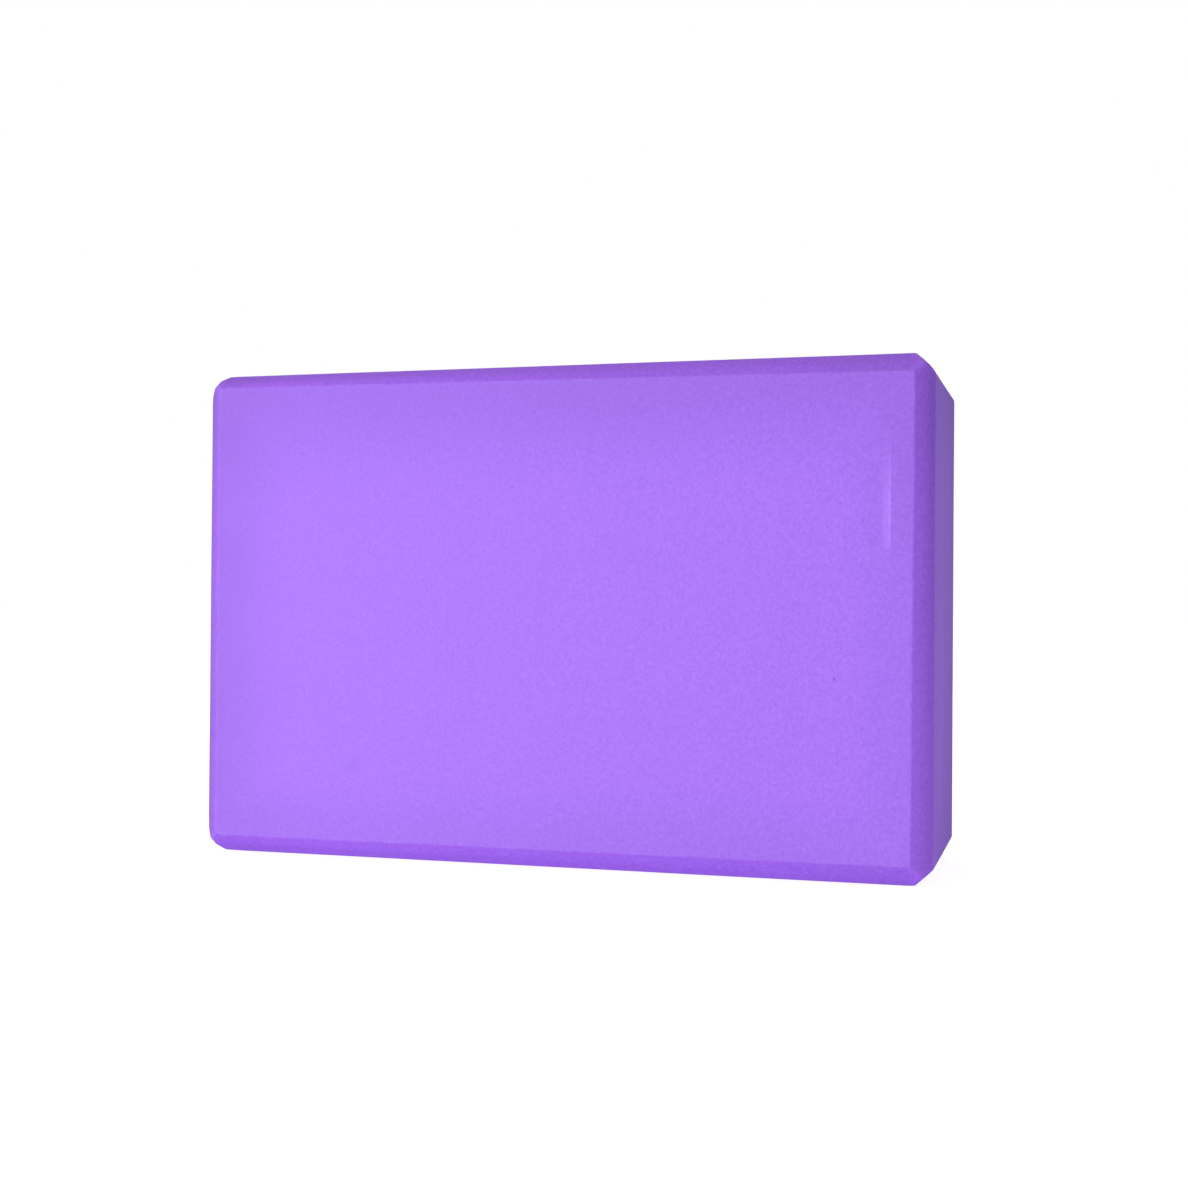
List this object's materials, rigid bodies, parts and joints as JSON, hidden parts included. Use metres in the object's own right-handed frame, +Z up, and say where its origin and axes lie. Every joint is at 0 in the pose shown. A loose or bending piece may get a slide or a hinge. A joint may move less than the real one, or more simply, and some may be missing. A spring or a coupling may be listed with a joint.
{
  "type": "yoga block",
  "caption": "Rectangular closed-cell foam block with bevelled edges, made up of foam sheets bonded face to face; a hand, foot or seat rests on it in yoga and pilates.",
  "frame": {"origin": "under the middle of the block, on the surface that its bottom narrow face stands on", "axes": "+X along the length, to the right seen from the front; +Y from the front large face to the rear one; +Z up"},
  "size_m": [0.23, 0.075, 0.152],
  "materials": {
    "violet_foam": "matte",
    "adhesive": "satin"
  },
  "bodies": {
    "root": {"front_slab": "violet_foam", "rear_slab": "violet_foam", "adhesive_film": "adhesive"}
  },
  "joints": []
}
